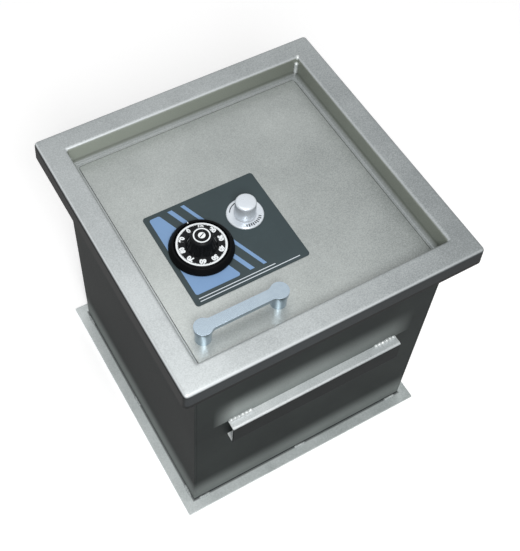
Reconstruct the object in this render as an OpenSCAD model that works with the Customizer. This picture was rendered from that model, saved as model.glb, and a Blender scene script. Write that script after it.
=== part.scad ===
// Floor safe with a lift-out lid, a combination lock and four round locking bolts.
// The body is a welded steel box that is cast into a floor. A pressed frame closes its
// top, and the lid drops into the frame's recess, flush with the ledge.
// Millimetres, +Z up. The origin is the centre of the base plate's underside, and the
// front (-Y) is the side with the lift handle.

/* [Body] */
// Overall height, from the underside of the base plate to the top of the frame
overall_h = 406; // [380:1:460]
// Width of the welded box over its side walls
body_w = 348; // [336:1:372]
// Depth of the welded box over its front and back walls
body_d = 348; // [336:1:372]
// Thickness of the wall plates
wall_t = 3; // [2:0.5:5]
// How far the base plate stands out past the box
base_overhang = 16; // [11:1:25]
// Thickness of the base plate
base_t = 4; // [3:0.5:8]
// Leg of the weld fillets round the base and the channels
weld_leg = 4; // [2:0.5:5]
// Length of one stitch of weld
stitch_len = 16; // [8:1:40]

/* [Top frame] */
// How far the frame's lips stand out past the box
frame_overhang = 26; // [21:1:36]
// Thickness of the frame's sheet
frame_t = 3; // [2:0.5:4]
// Height of the lip that turns down at the outer edge
lip_h = 24; // [15:1:35]
// Outside radius of the bend between the top and the lip
edge_r = 5; // [4.5:0.5:8]
// Radius of the frame's corners, seen from above
corner_r = 4; // [0.5:0.5:9]
// Depth of the recess, from the top of the frame to the ledge
recess_h = 30; // [26:1:40]
// Outside radius of the bend between the top and the recess wall
recess_r = 4.5; // [4.5:0.5:6]
// Inside radius of the bend between the recess wall and the ledge
seat_r = 5; // [3:0.5:7]
// Width of the ledge round the lid
ledge_w = 8; // [7:0.5:14]

/* [Anchor bars] */
// Length of the channels welded across the front and back walls
anchor_len = 252; // [160:1:300]
// Height of a channel
anchor_h = 40; // [30:1:60]
// How far a channel stands out from its wall
anchor_depth = 14; // [10:0.5:20]
// Thickness of a channel's sheet
anchor_t = 3; // [2:0.5:4]
// Outside radius of a channel's bends
anchor_r = 4; // [4:0.5:6]
// Height of a channel's centre above the floor
anchor_z = 201; // [120:1:280]

/* [Lid and its seat] */
// Gap all round between the lid and the ledge
lid_gap = 1; // [1:0.5:4]
// Thickness of the lid plate
lid_t = 12; // [10:0.5:16]
// Radius of the lid's corners
lid_r = 4; // [3:0.5:12]
// How far the seat rails reach in under the lid's edge
rail_overlap = 11; // [10.5:0.5:12]
// Thickness of the seat rails, which are also the strikes of the bolts
rail_t = 10; // [8:0.5:12]
// Thickness of the rubber seal between the rails and the lid
seal_t = 2; // [1:0.5:3]
// Width of the rubber seal
seal_w = 6; // [3:0.5:6.5]

/* [Handle] */
// Distance between the centres of the handle's posts
handle_span = 99; // [80:1:110]
// Height of the handle above the lid
handle_h = 27; // [22:1:29]
// Radius of a post
post_r = 10; // [6.5:0.5:10.5]
// Radius of the disc at each end of the bar
handle_end_r = 11.5; // [11:0.5:13]
// Width of the bar
handle_bar_w = 14.5; // [8:0.5:16]
// Thickness of the bar
handle_bar_t = 6; // [4:0.5:8]
// Radius of the hollow flare between a disc and the bar
handle_flare_r = 8; // [4:0.5:12]
// Metal left above the threaded bore in a post
post_cap = 4; // [3:0.5:6]
// Distance from the label plate's left edge to the handle's middle
handle_offset = 36; // [34:0.5:60]
// Distance from the lid's front edge to the handle's middle
handle_inset = 28; // [26:0.5:30]

/* [Label plate] */
// Width of the plate under the dial and the knob
label_w = 154; // [150:1:160]
// Depth of that plate
label_d = 141; // [136:1:146]
// Thickness of that plate
label_t = 1; // [0.5:0.1:1.5]
// Radius of its corners
label_r = 4; // [1:0.5:8]
// Distance from the lid's left edge to the plate
label_inset = 33; // [31:0.5:35]
// Position of its middle on the lid, along Y
label_y = -22; // [-23:0.5:-21]

/* [Combination dial] */
// Distance from the label plate's left edge to the dial's axis
dial_inset = 43.5; // [43:0.5:44]
// Position of the dial's axis on the lid, along Y
dial_y = -23.5; // [-24:0.5:-23]
// Outer radius of the fixed ring round the dial
ring_r = 40; // [39:0.5:41]
// Inner radius of that ring
ring_inner_r = 33.5; // [33:0.5:35]
// Height of that ring above the label plate
ring_h = 9.5; // [8.5:0.5:11]
// Width of the slope at the ring's outer edge
ring_slope_w = 4; // [2:0.5:4.5]
// Height of that slope
ring_slope_h = 6; // [3:0.5:7]
// Thickness of the ring's floor, under the dial
ring_floor_t = 1.5; // [1:0.5:2]
// Radius of the dial's disc
dial_r = 32.5; // [30:0.5:32.5]
// Height of the disc's face above the label plate
dial_face_h = 9; // [8.5:0.5:11]
// Thickness of the disc
dial_disc_t = 6.5; // [5:0.5:7]
// Radius of the grip where it leaves the disc
grip_base_r = 19.5; // [16:0.5:21]
// Radius of the grip at its top
grip_top_r = 12; // [10:0.5:14]
// Height of the whole dial above the lid
dial_h = 28.5; // [26:0.5:30]
// Height of the rounded cap of the grip
grip_cap_h = 2.5; // [1:0.5:3]
// Width of that cap's slope
grip_cap_w = 1.5; // [1:0.5:2.5]
// Bevel of the disc's edge and of the cap's rim
dial_bevel = 1; // [0.5:0.1:1.5]
// Number of flutes round the grip
grip_flutes = 20; // [12:1:30]
// Radius of a flute
flute_r = 1; // [0.5:0.1:1.5]
// Plastic left above the spindle in the dial
dial_cap = 4; // [3:0.5:6]

/* [Opening knob] */
// Distance from the dial's axis to the knob's axis, along X
knob_gap = 71; // [70.5:0.5:71.5]
// Position of the knob's axis on the lid, along Y
knob_y = -4.5; // [-5:0.5:-4]
// Radius of the knob
knob_r = 14; // [12:0.5:16]
// Height of the knob's top above the lid
knob_h = 26; // [21:0.5:28]
// Radius of the rounded edge at the knob's top
knob_edge_r = 3; // [1:0.5:5]
// Metal left above the spindle in the knob
knob_cap = 6; // [4:0.5:8]
// Turn of the knob that throws the bolts, in degrees
knob_turn = 90; // [75:5:100]
// Radius of the disc round the knob
escutcheon_r = 23.5; // [20:0.5:24]
// Thickness of that disc
escutcheon_t = 2.5; // [1.5:0.5:4]
// Bevel of that disc's edge
escutcheon_bevel = 1; // [0.5:0.1:1.5]
// Radius of the knob's spindle
knob_spindle_r = 6; // [5.5:0.5:6.5]
// Outer radius of the bush that carries the spindle
bush_r = 9.5; // [9:0.5:10]
// Radius of the bush's flange
bush_flange_r = 15; // [13:0.5:18]
// Thickness of the bush's flange
bush_flange_t = 3; // [2:0.5:4]
// Length of the bush below the lid
bush_len = 23; // [18:1:26]

/* [Bolt work] */
// Diameter of the locking bolts
bolt_d = 20; // [14:1:22]
// Distance between the two bolts of one side
bolt_spacing = 160; // [150:1:170]
// Bevel of a bolt's end
bolt_bevel = 2; // [1:0.5:3]
// Radius of the threaded spigot at a bolt's inner end
spigot_r = 5; // [4:0.5:6]
// How far a bolt is thrown
bolt_throw = 16; // [15:0.5:16]
// How far a drawn bolt stands back from the rails' opening
bolt_setback = 3; // [2:0.5:5]
// Gap between a bolt and the rail above it
bolt_gap = 1; // [0.5:0.5:2]
// Distance from the knob's axis to a follower pin with the bolts drawn
cam_start_r = 18; // [18:0.5:20]
// Radius of a follower pin
follower_r = 4; // [3:0.5:4.5]
// Thickness of the scroll cam
cam_t = 6; // [4:0.5:8]
// Metal left outside the cam's slots
cam_margin = 5; // [4:0.5:6]
// Thickness of the arms between the cam and the cross bars
arm_t = 8; // [6:0.5:8]
// Width of an arm
arm_w = 28; // [26:0.5:28]
// Thickness of a cross bar
cross_t = 12; // [8:0.5:12]
// Height of a cross bar
cross_h = 20; // [16:1:20]
// How far a cross bar reaches beyond the bolts' centres
cross_over = 15; // [12:1:18]
// Gap between a cross bar and its guide bar with the bolts thrown
cross_gap = 4; // [2:0.5:5]
// Thickness of the bars that guide the bolts
guide_t = 12; // [10:1:13]
// Distance from the lid's edge to a guide bar
guide_inset = 29; // [28:0.5:30]
// Metal below the bolts in a guide bar
guide_under = 5; // [3:0.5:8]
// Metal beyond a bolt at each end of a guide bar
guide_over = 8; // [6:0.5:12]
// Distance between the two screws of a guide bar
guide_hole_span = 96; // [80:1:100]

/* [Combination lock] */
// Length of the lock case, along X
lock_len = 84; // [82:0.5:84]
// Width of the lock case, along Y
lock_w = 61; // [60:0.5:66]
// Height of the lock case
lock_h = 27; // [26:0.5:27]
// Thickness of the case's walls
lock_wall = 3; // [2:0.5:4]
// Thickness of the case's cover
lock_cover_t = 3; // [3:0.5:4]
// Distance from the dial's axis to the case's left end
lock_left = 28; // [28:0.5:32]
// Thickness of the hard plate above the case
hard_t = 4; // [3:0.5:4]
// How far the hard plate reaches past the case
hard_margin = 8; // [4:1:9]
// Radius of the dial's spindle
dial_spindle_r = 3.8; // [3:0.1:4]
// Radius of the post that the wheels turn on
post_tube_r = 7; // [6:0.5:8]
// Radius of a wheel
wheel_r = 24; // [22:0.5:24]
// Thickness of a wheel
wheel_t = 2.5; // [2:0.1:2.5]
// Gap between the wheels
wheel_gap = 1; // [0.5:0.1:1]
// Depth of a wheel's gate
gate_depth = 4; // [3.5:0.5:5]
// Width of a wheel's gate
gate_w = 4.5; // [4:0.5:6]
// Number of round holes in a wheel
wheel_holes = 5; // [3:1:5]
// Radius of those holes
wheel_hole_r = 3; // [2:0.5:3.5]
// Distance from those holes' centres to the dial's axis
wheel_hole_at = 14.5; // [13:0.5:15.5]
// Radius of the drive cam
drive_cam_r = 20; // [17:0.5:20]
// Thickness of the drive cam
drive_cam_t = 4; // [3:0.5:4]
// Depth of the drive cam's notch
notch_depth = 5; // [4:0.5:6]
// Width of the drive cam's notch
notch_w = 7; // [6:0.5:9]
// Thickness of the lock bolt
lock_bolt_t = 7; // [6:0.5:7]
// Width of the lock bolt
lock_bolt_w = 24; // [20:0.5:24]
// Length of the lock bolt
lock_bolt_len = 26; // [24:0.5:27]
// Width of the lock bolt's tongue
tongue_w = 9; // [6:0.5:9]
// Length of the lock bolt's tongue
tongue_len = 8; // [7.5:0.5:9]
// How far the lock bolt is thrown
lock_throw = 6.5; // [6:0.5:6.5]
// Thickness of the lever
lever_t = 3.5; // [2.5:0.5:3.5]
// Half of the lever's width
lever_r = 3; // [3:0.5:3.5]
// Width of the lever's nose where it leaves the lever
nose_w = 5; // [4:0.5:5.5]
// Width of the nose at its tip
nose_tip_w = 2; // [1:0.5:3]
// Radius of the lever's pin
lever_pin_r = 2; // [1.5:0.1:2.5]
// Distance from the lock bolt's inner end to the lever's pin
lever_pin_in = 7; // [6.5:0.5:8]
// Distance from the dial's axis to the lever's pin, across the lock bolt
lever_pin_side = 6; // [5:0.5:7]
// Length of the lock bolt's step under the lever
lever_step_len = 12; // [11.5:0.5:14]
// Radius of the fence pin
fence_r = 1.5; // [1:0.1:2]
// Direction of the fence from the dial's axis, in degrees
fence_angle = 35; // [32:1:38]

/* [Screws] */
// Radius of the handle's screws
handle_screw_r = 3; // [2.5:0.5:3.5]
// Radius of their heads
handle_head_r = 5.5; // [4.5:0.5:6.5]
// Height of their heads
handle_head_t = 4; // [3:0.5:5]
// Radius of the guide bars' screws
guide_screw_r = 4; // [3:0.5:4.5]
// Radius of their heads
guide_head_r = 6.5; // [5.5:0.5:8]
// Height of their heads
guide_head_t = 5; // [4:0.5:6]
// Radius of the lock's screws
lock_screw_r = 2; // [1.5:0.1:2]
// Radius of their heads
lock_head_r = 3.6; // [3:0.1:4]
// Height of their heads
lock_head_t = 2; // [1.5:0.1:2.5]
// Radius of the bosses that the lock's screws pass through
boss_r = 4.5; // [4:0.5:5]
// How far the screws of the guide bars and the lock reach into the lid
screw_in = 6; // [5:0.5:8]
// Thickness of the nuts
nut_t = 6; // [5:0.5:8]

/* [Clearances] */
// Radial clearance of a shaft or bolt in its bore
run_fit = 0.05; // [0.02:0.01:0.1]
// Clearance on each side of a follower pin in its slot
slot_fit = 0.3; // [0.2:0.05:0.5]
// Clearance of the dial and the knob above what they turn over
turn_gap = 0.5; // [0.3:0.1:1]
// Clearance of the small sliding pieces of the lock
slide_fit = 0.25; // [0.1:0.05:0.4]
// Gap between the lifted fence and the wheels
fence_gap = 0.4; // [0.3:0.1:0.6]
// Gap round the thrown tongue in the front arm's notch
tongue_gap = 1; // [0.5:0.1:1.2]
// How far the drawn tongue stands back inside the case
tongue_inset = 0.5; // [0.5:0.1:1]
// Gap between the scroll cam and the lock's cover
cam_gap = 1; // [0.5:0.1:2]
// Gap between the drawn arms and the bush
arm_gap = 1.5; // [1:0.1:2]

/* [Hidden] */
$fn = 72;
// How far a cutting shape runs past what it cuts
over = 1;

base_w = body_w + 2 * base_overhang;
base_d = body_d + 2 * base_overhang;
frame_w = body_w + 2 * frame_overhang;
frame_d = body_d + 2 * frame_overhang;

// The recess is what the frame's wall leaves inside the box
recess_w = body_w - 2 * (wall_t + frame_t);
recess_d = body_d - 2 * (wall_t + frame_t);
opening_w = recess_w - 2 * ledge_w;
opening_d = recess_d - 2 * ledge_w;
wall_top = overall_h - recess_r;
inner_w = body_w - 2 * wall_t;
inner_d = body_d - 2 * wall_t;

lid_w = opening_w - 2 * lid_gap;
lid_d = opening_d - 2 * lid_gap;
lid_top = overall_h - recess_h;
lid_bot = lid_top - lid_t;
rail_top = lid_bot - seal_t;
rail_bot = rail_top - rail_t;
rail_w = lid_w - 2 * rail_overlap;
rail_d = lid_d - 2 * rail_overlap;
face_z = lid_top + label_t;
label_x0 = label_inset - lid_w / 2;
dial_x = label_x0 + dial_inset;
knob_x = dial_x + knob_gap;
handle_x = label_x0 + handle_offset;

// Levels of the bolt work, from the rails down
bolt_z = rail_bot - bolt_gap - bolt_d / 2;
bolt_tip = rail_d / 2 - bolt_setback;
guide_y = lid_d / 2 - guide_inset;
guide_bot = bolt_z - bolt_d / 2 - guide_under;
guide_mid_y = guide_y - guide_t / 2;
cross_y = guide_y - guide_t - bolt_throw - cross_gap;
cam_rim = cam_start_r + bolt_throw + follower_r + slot_fit + cam_margin;

// Levels of the lock, from the lid down
lock_top = lid_bot - hard_t;
lock_bot = lock_top - lock_h;
roof_z = lock_top - lock_wall;
cover_bot = lock_bot - lock_cover_t;
cam_top = cover_bot - cam_gap;
cam_bot = cam_top - cam_t;
post_bot = roof_z - 3 * (wheel_t + wheel_gap) - wheel_gap;
drive_top = post_bot - wheel_gap;
lever_z = drive_top - lever_t;
lock_x0 = dial_x - lock_left;
lock_x1 = lock_x0 + lock_len;
lock_y0 = dial_y - lock_w / 2;
lock_y1 = dial_y + lock_w / 2;
boss_inset = lock_wall + 2;
lock_screw_places = [for (x = [lock_x0 + boss_inset, lock_x1 - boss_inset],
                          y = [lock_y0 + boss_inset, lock_y1 - boss_inset]) [x, y]];
bolt_slot_w = lock_bolt_w + 2 * slide_fit;
lock_bolt_x0 = lock_x1 - lock_bolt_len - tongue_inset;
lever_pin_x = lock_bolt_x0 + lever_pin_in;
lever_pin_y = dial_y + lever_pin_side;
fence_reach = wheel_r + fence_r + fence_gap;
fence_x = dial_x + fence_reach * cos(fence_angle);
fence_y = dial_y + fence_reach * sin(fence_angle);

// Corner radius of the nuts on the bolts' spigots and on the knob's spindle
spindle_end_r = knob_spindle_r - 1;
spigot_nut_r = 1.8 * spigot_r;
spindle_nut_r = 1.8 * spindle_end_r;
handle_y = handle_inset - lid_d / 2;
handle_post_xs = [for (s = [-1, 1]) handle_x + s * handle_span / 2];
guide_screw_places = [for (x = [-1, 1], y = [-1, 1])
                      [x * guide_hole_span / 2, y * guide_mid_y]];
post_bore = handle_h - handle_bar_t - post_cap;

steel = "gainsboro";
frame_grey = "silver";
wall_grey = "dimgray";
plated = "lightsteelblue";
black = "#202224";
brass_yellow = "goldenrod";

// A rectangle with round corners, centred
module round_rect(w, d, r) {
    square([w - 2 * r, d], center = true);
    square([w, d - 2 * r], center = true);
    for (sx = [-1, 1], sy = [-1, 1])
        translate([sx * (w / 2 - r), sy * (d / 2 - r)]) circle(r);
}

// A quarter of a ring: the section of a bend in sheet
module bend(r_out, r_in, turn) {
    rotate(turn) intersection() {
        difference() {
            circle(r_out);
            circle(r_in);
        }
        square(r_out);
    }
}

module rod(x, y, z0, z1, r) {
    translate([x, y, z0]) cylinder(r = r, h = z1 - z0);
}

// A hole right through what lies between z0 and z1
module bore(x, y, z0, z1, r) {
    rod(x, y, z0 - over, z1 + over, r);
}

// Base and walls

module base_plate() {
    color(steel) translate([0, 0, base_t / 2]) cube([base_w, base_d, base_t], center = true);
}

// The side walls run the full depth, and the front and back walls fit between them
module side_wall(side) {
    color(wall_grey) translate([side * (body_w - wall_t) / 2, 0, (base_t + wall_top) / 2])
        cube([wall_t, body_d, wall_top - base_t], center = true);
}

module end_wall(side) {
    color(wall_grey) translate([0, side * (body_d - wall_t) / 2, (base_t + wall_top) / 2])
        cube([inner_w, wall_t, wall_top - base_t], center = true);
}

// One stitch of fillet weld along X, in the corner of a floor (z = 0) and a wall (y = 0).
// Its face is slightly hollow.
module stitch() {
    throat = 0.45 * weld_leg;
    translate([-stitch_len / 2, 0, 0]) rotate([90, 0, 90]) linear_extrude(stitch_len)
        polygon([[0, 0], [-weld_leg, 0], [-throat, throat], [0, weld_leg]]);
}

// Three stitches along each side of the box hold it to the base plate
module base_welds() {
    color(steel) for (turn = [0 : 3]) {
        half_run = (turn % 2 == 0 ? body_w : body_d) / 2;
        reach = (turn % 2 == 0 ? body_d : body_w) / 2;
        rotate(90 * turn) for (k = [-1, 0, 1])
            translate([k * (half_run - stitch_len), -reach, base_t]) stitch();
    }
}

// Pressed top frame

// Section of one member: u runs inwards from the lip's outer face, v up from the top
module frame_section(margin) {
    translate([0, -lip_h]) square([frame_t, lip_h - edge_r]);
    translate([edge_r, -edge_r]) bend(edge_r, edge_r - frame_t, 90);
    translate([edge_r, -frame_t]) square([margin - edge_r - recess_r, frame_t]);
    translate([margin - recess_r, -recess_r]) bend(recess_r, recess_r - frame_t, 0);
    translate([margin - frame_t, seat_r - recess_h])
        square([frame_t, recess_h - recess_r - seat_r]);
    translate([margin + seat_r, seat_r - recess_h]) bend(seat_r + frame_t, seat_r, 180);
}

// The front member of a frame w wide and d deep; its ends are mitred
module frame_member(w, d, box_w, box_d) {
    margin = (d - box_d) / 2;
    mitre = margin + ledge_w + lid_r + lid_gap;
    floor_w = box_w - 2 * seat_r;
    floor_d = box_d - 2 * seat_r;
    intersection() {
        union() {
            translate([-w / 2, -d / 2, overall_h]) rotate([90, 0, 90]) linear_extrude(w)
                frame_section(margin);
            translate([0, 0, lid_top - frame_t]) linear_extrude(frame_t) difference() {
                square([floor_w, floor_d], center = true);
                round_rect(box_w - 2 * ledge_w, box_d - 2 * ledge_w, lid_r + lid_gap);
            }
        }
        translate([0, 0, lid_top - lip_h]) linear_extrude(recess_h + lip_h + over)
            intersection() {
                round_rect(w, d, corner_r);
                polygon([
                    [-w / 2, -d / 2], [w / 2, -d / 2],
                    [w / 2 - mitre, mitre - d / 2], [mitre - w / 2, mitre - d / 2]
                ]);
            }
    }
}

module frame_front() {
    color(frame_grey) frame_member(frame_w, frame_d, recess_w, recess_d);
}

module frame_back() {
    color(frame_grey) rotate(180) frame_member(frame_w, frame_d, recess_w, recess_d);
}

module frame_left() {
    color(frame_grey) rotate(-90) frame_member(frame_d, frame_w, recess_d, recess_w);
}

module frame_right() {
    color(frame_grey) rotate(90) frame_member(frame_d, frame_w, recess_d, recess_w);
}

// Anchor bars: open channels whose web stands away from the wall

module anchor_bar(side) {
    color(steel) scale([1, side, 1]) translate([-anchor_len / 2, -body_d / 2, anchor_z])
        rotate([90, 0, 90]) linear_extrude(anchor_len) {
            for (s = [-1, 1]) {
                translate([anchor_r - anchor_depth, s > 0 ? anchor_h / 2 - anchor_t : -anchor_h / 2])
                    square([anchor_depth - anchor_r, anchor_t]);
                translate([anchor_r - anchor_depth, s * (anchor_h / 2 - anchor_r)])
                    bend(anchor_r, anchor_r - anchor_t, s > 0 ? 90 : 180);
            }
            translate([-anchor_depth, anchor_r - anchor_h / 2])
                square([anchor_t, anchor_h - 2 * anchor_r]);
        }
}

module anchor_bar_welds() {
    color(steel) for (turn = [0, 180], side = [-1, 1], up = [0, 1])
        rotate(turn) translate([side * (anchor_len - stitch_len) / 2, -body_d / 2, anchor_z])
            mirror([0, 0, up]) translate([0, 0, anchor_h / 2]) stitch();
}

// Seat of the lid: flat bars welded round the inside of the walls

module seat_rail_end(side) {
    depth = (inner_d - rail_d) / 2;
    color(steel) translate([0, side * (inner_d - depth) / 2, rail_top - rail_t / 2])
        cube([inner_w, depth, rail_t], center = true);
}

module seat_rail_side(side) {
    depth = (inner_w - rail_w) / 2;
    color(steel) translate([side * (inner_w - depth) / 2, 0, rail_top - rail_t / 2])
        cube([depth, rail_d, rail_t], center = true);
}

// The seal lies on the rails, just inside the lid's edge
module lid_seal() {
    inset = 1;
    outer_w = lid_w - 2 * inset;
    outer_d = lid_d - 2 * inset;
    color(black) translate([0, 0, rail_top]) linear_extrude(seal_t) difference() {
        round_rect(outer_w, outer_d, lid_r);
        round_rect(outer_w - 2 * seal_w, outer_d - 2 * seal_w, max(lid_r - seal_w, inset));
    }
}

// Lid and what is fixed to it

module lid_plate() {
    color(frame_grey) difference() {
        translate([0, 0, lid_bot]) linear_extrude(lid_t) round_rect(lid_w, lid_d, lid_r);
        bore(dial_x, dial_y, lid_bot, lid_top, post_tube_r);
        bore(knob_x, knob_y, lid_bot, lid_top, bush_r);
        for (x = handle_post_xs) {
            bore(x, handle_y, lid_bot, lid_top, handle_screw_r);
            rod(x, handle_y, lid_bot - over, lid_bot + handle_head_t, handle_head_r);
        }
        for (p = guide_screw_places)
            rod(p[0], p[1], lid_bot - over, lid_bot + screw_in, guide_screw_r);
        for (p = lock_screw_places)
            rod(p[0], p[1], lid_bot - over, lid_bot + screw_in, lock_screw_r);
    }
}

module label_plate() {
    color("darkslategray") difference() {
        translate([label_x0 + label_w / 2, label_y, lid_top]) linear_extrude(label_t)
            round_rect(label_w, label_d, label_r);
        bore(dial_x, dial_y, lid_top, face_z, post_tube_r);
        bore(knob_x, knob_y, lid_top, face_z, bush_r);
    }
}

// Half of the bar's outline at one end: the disc and the two hollow flares into the bar
module handle_end() {
    reach = handle_end_r + handle_flare_r;
    rise = handle_bar_w / 2 + handle_flare_r;
    run = sqrt(reach * reach - rise * rise);
    circle(handle_end_r);
    for (s = [-1, 1]) difference() {
        polygon([
            [0, 0], [run, 0], [run, s * handle_bar_w / 2],
            [run * handle_end_r / reach, s * rise * handle_end_r / reach]
        ]);
        translate([run, s * rise]) circle(handle_flare_r);
    }
}

module handle() {
    under = handle_h - handle_bar_t;
    color(plated) translate([handle_x, handle_y, lid_top]) difference() {
        union() {
            for (s = [0, 1]) mirror([s, 0, 0]) translate([-handle_span / 2, 0, 0]) {
                cylinder(r = post_r, h = under);
                translate([0, 0, under]) linear_extrude(handle_bar_t) handle_end();
            }
            translate([0, 0, under + handle_bar_t / 2])
                cube([handle_span, handle_bar_w, handle_bar_t], center = true);
        }
        for (s = [-1, 1]) rod(s * handle_span / 2, 0, -over, post_bore, handle_screw_r);
    }
}

module handle_screws() {
    color(plated) for (x = handle_post_xs) {
        rod(x, handle_y, lid_bot, lid_bot + handle_head_t, handle_head_r);
        rod(x, handle_y, lid_bot, lid_top + post_bore - 2, handle_screw_r);
    }
}

// Fixed ring round the dial, with a floor that seats it on the label plate
module dial_ring() {
    color(black) translate([dial_x, dial_y, face_z]) rotate_extrude() polygon([
        [post_tube_r, 0], [ring_r, 0], [ring_r, ring_h - ring_slope_h],
        [ring_r - ring_slope_w, ring_h], [ring_inner_r, ring_h],
        [ring_inner_r, ring_floor_t], [post_tube_r, ring_floor_t]
    ]);
}

module knob_escutcheon() {
    color(steel) translate([knob_x, knob_y, face_z]) rotate_extrude() polygon([
        [bush_r, 0], [escutcheon_r, 0], [escutcheon_r, escutcheon_t - escutcheon_bevel],
        [escutcheon_r - escutcheon_bevel, escutcheon_t], [bush_r, escutcheon_t]
    ]);
}

// Flanged bush, pressed into the lid from below, that carries the knob's spindle
module spindle_bush() {
    low = lid_bot - bush_len;
    color(brass_yellow) difference() {
        union() {
            rod(knob_x, knob_y, low, face_z, bush_r);
            rod(knob_x, knob_y, lid_bot - bush_flange_t, lid_bot, bush_flange_r);
        }
        bore(knob_x, knob_y, low, face_z, knob_spindle_r + run_fit);
    }
}

// A bar under the lid, bored for the two bolts of its side
module guide_bar(side) {
    len = bolt_spacing + bolt_d + 2 * guide_over;
    color(steel) difference() {
        translate([0, side * guide_mid_y, (guide_bot + lid_bot) / 2])
            cube([len, guide_t, lid_bot - guide_bot], center = true);
        for (s = [-1, 1])
            translate([s * bolt_spacing / 2, 0, bolt_z]) rotate([-side * 90, 0, 0])
                cylinder(r = bolt_d / 2 + run_fit, h = guide_y + over);
        for (p = guide_screw_places) bore(p[0], p[1], guide_bot, lid_bot, guide_screw_r);
    }
}

module guide_bar_screws() {
    color(plated) for (p = guide_screw_places) {
        rod(p[0], p[1], guide_bot, lid_bot + screw_in, guide_screw_r);
        rod(p[0], p[1], guide_bot - guide_head_t, guide_bot, guide_head_r);
    }
}

// Combination lock

module lock_outline(extra) {
    translate([lock_x0 - extra, lock_y0 - extra])
        square([lock_len + 2 * extra, lock_w + 2 * extra]);
}

// Drill-proof plate between the lid and the lock; it ends beside the bush's flange
module hard_plate() {
    left = lock_x0 - hard_margin;
    color(steel) difference() {
        translate([left, lock_y0 - hard_margin, lock_top])
            cube([knob_x - bush_flange_r - turn_gap - left, lock_w + 2 * hard_margin, hard_t]);
        bore(dial_x, dial_y, lock_top, lid_bot, post_tube_r);
        for (p = lock_screw_places) bore(p[0], p[1], lock_top, lid_bot, lock_screw_r);
    }
}

module lock_case() {
    color(brass_yellow) difference() {
        translate([0, 0, lock_bot]) linear_extrude(lock_h) lock_outline(0);
        difference() {
            translate([0, 0, lock_bot - over]) linear_extrude(roof_z - lock_bot + over)
                lock_outline(-lock_wall);
            for (p = lock_screw_places) bore(p[0], p[1], lock_bot, roof_z, boss_r);
        }
        bore(dial_x, dial_y, roof_z, lock_top, post_tube_r);
        for (p = lock_screw_places) bore(p[0], p[1], lock_bot, lock_top, lock_screw_r);
        translate([lock_x1 - lock_wall - over, dial_y - bolt_slot_w / 2,
                   drive_top - lock_bolt_t - slide_fit])
            cube([lock_wall + 2 * over, bolt_slot_w, lock_bolt_t + 2 * slide_fit]);
    }
}

module lock_cover() {
    color(steel) difference() {
        translate([0, 0, cover_bot]) linear_extrude(lock_cover_t) lock_outline(0);
        for (p = lock_screw_places) {
            bore(p[0], p[1], cover_bot, lock_bot, lock_screw_r);
            rod(p[0], p[1], cover_bot - over, cover_bot + lock_head_t, lock_head_r);
        }
    }
}

module lock_screws() {
    color(plated) for (p = lock_screw_places) {
        rod(p[0], p[1], cover_bot, lid_bot + screw_in, lock_screw_r);
        rod(p[0], p[1], cover_bot, cover_bot + lock_head_t, lock_head_r);
    }
}

// Tube through the lid and the case: the spindle turns in it and the wheels turn on it
module wheel_post() {
    top = face_z + ring_floor_t;
    color(brass_yellow) difference() {
        rod(dial_x, dial_y, post_bot, top, post_tube_r);
        bore(dial_x, dial_y, post_bot, top, dial_spindle_r + run_fit);
    }
}

// Disc and fluted grip in one moulding, bored from below for the spindle
module dial() {
    face = face_z + dial_face_h;
    low = face - dial_disc_t;
    top = lid_top + dial_h;
    cap = top - grip_cap_h;
    cap_r = grip_top_r + grip_cap_w;
    color(black) translate([dial_x, dial_y, 0]) difference() {
        rotate_extrude() polygon([
            [dial_spindle_r, low], [dial_r, low], [dial_r, face - dial_bevel],
            [dial_r - dial_bevel, face], [grip_base_r, face], [cap_r, cap],
            [grip_top_r, top - dial_bevel], [grip_top_r - dial_bevel, top], [0, top],
            [0, top - dial_cap], [dial_spindle_r, top - dial_cap]
        ]);
        for (k = [0 : grip_flutes - 1]) rotate(k * 360 / grip_flutes)
            translate([grip_base_r - flute_r / 2, 0, face + 1.5 * flute_r])
                rotate([0, atan2(cap_r - grip_base_r, cap - face), 0])
                    cylinder(r = flute_r, h = cap - face - 2.5 * flute_r);
    }
}

module dial_spindle() {
    color(steel) rod(dial_x, dial_y, drive_top - drive_cam_t - 1, lid_top + dial_h - dial_cap,
                     dial_spindle_r);
}

// A slot in the rim, as the gate of a wheel or the notch of the drive cam
module rim_slot(r, depth, width, z0, z1) {
    translate([dial_x, dial_y, z0 - over]) rotate(fence_angle)
        translate([r - depth, -width / 2, 0])
            cube([depth + over, width, z1 - z0 + 2 * over]);
}

module drive_cam() {
    z0 = drive_top - drive_cam_t;
    color(brass_yellow) difference() {
        rod(dial_x, dial_y, z0, drive_top, drive_cam_r);
        bore(dial_x, dial_y, z0, drive_top, dial_spindle_r);
        rim_slot(drive_cam_r, notch_depth, notch_w, z0, drive_top);
    }
}

module wheel(index) {
    z1 = roof_z - wheel_gap - index * (wheel_t + wheel_gap);
    z0 = z1 - wheel_t;
    color(index == 1 ? "peru" : brass_yellow) difference() {
        rod(dial_x, dial_y, z0, z1, wheel_r);
        bore(dial_x, dial_y, z0, z1, post_tube_r + run_fit);
        rim_slot(wheel_r, gate_depth, gate_w, z0, z1);
        for (k = [1 : wheel_holes])
            translate([dial_x, dial_y, 0]) rotate(fence_angle + k * 360 / (wheel_holes + 1))
                bore(wheel_hole_at, 0, z0, z1, wheel_hole_r);
    }
}

// Knob, spindle and scroll cam

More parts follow.
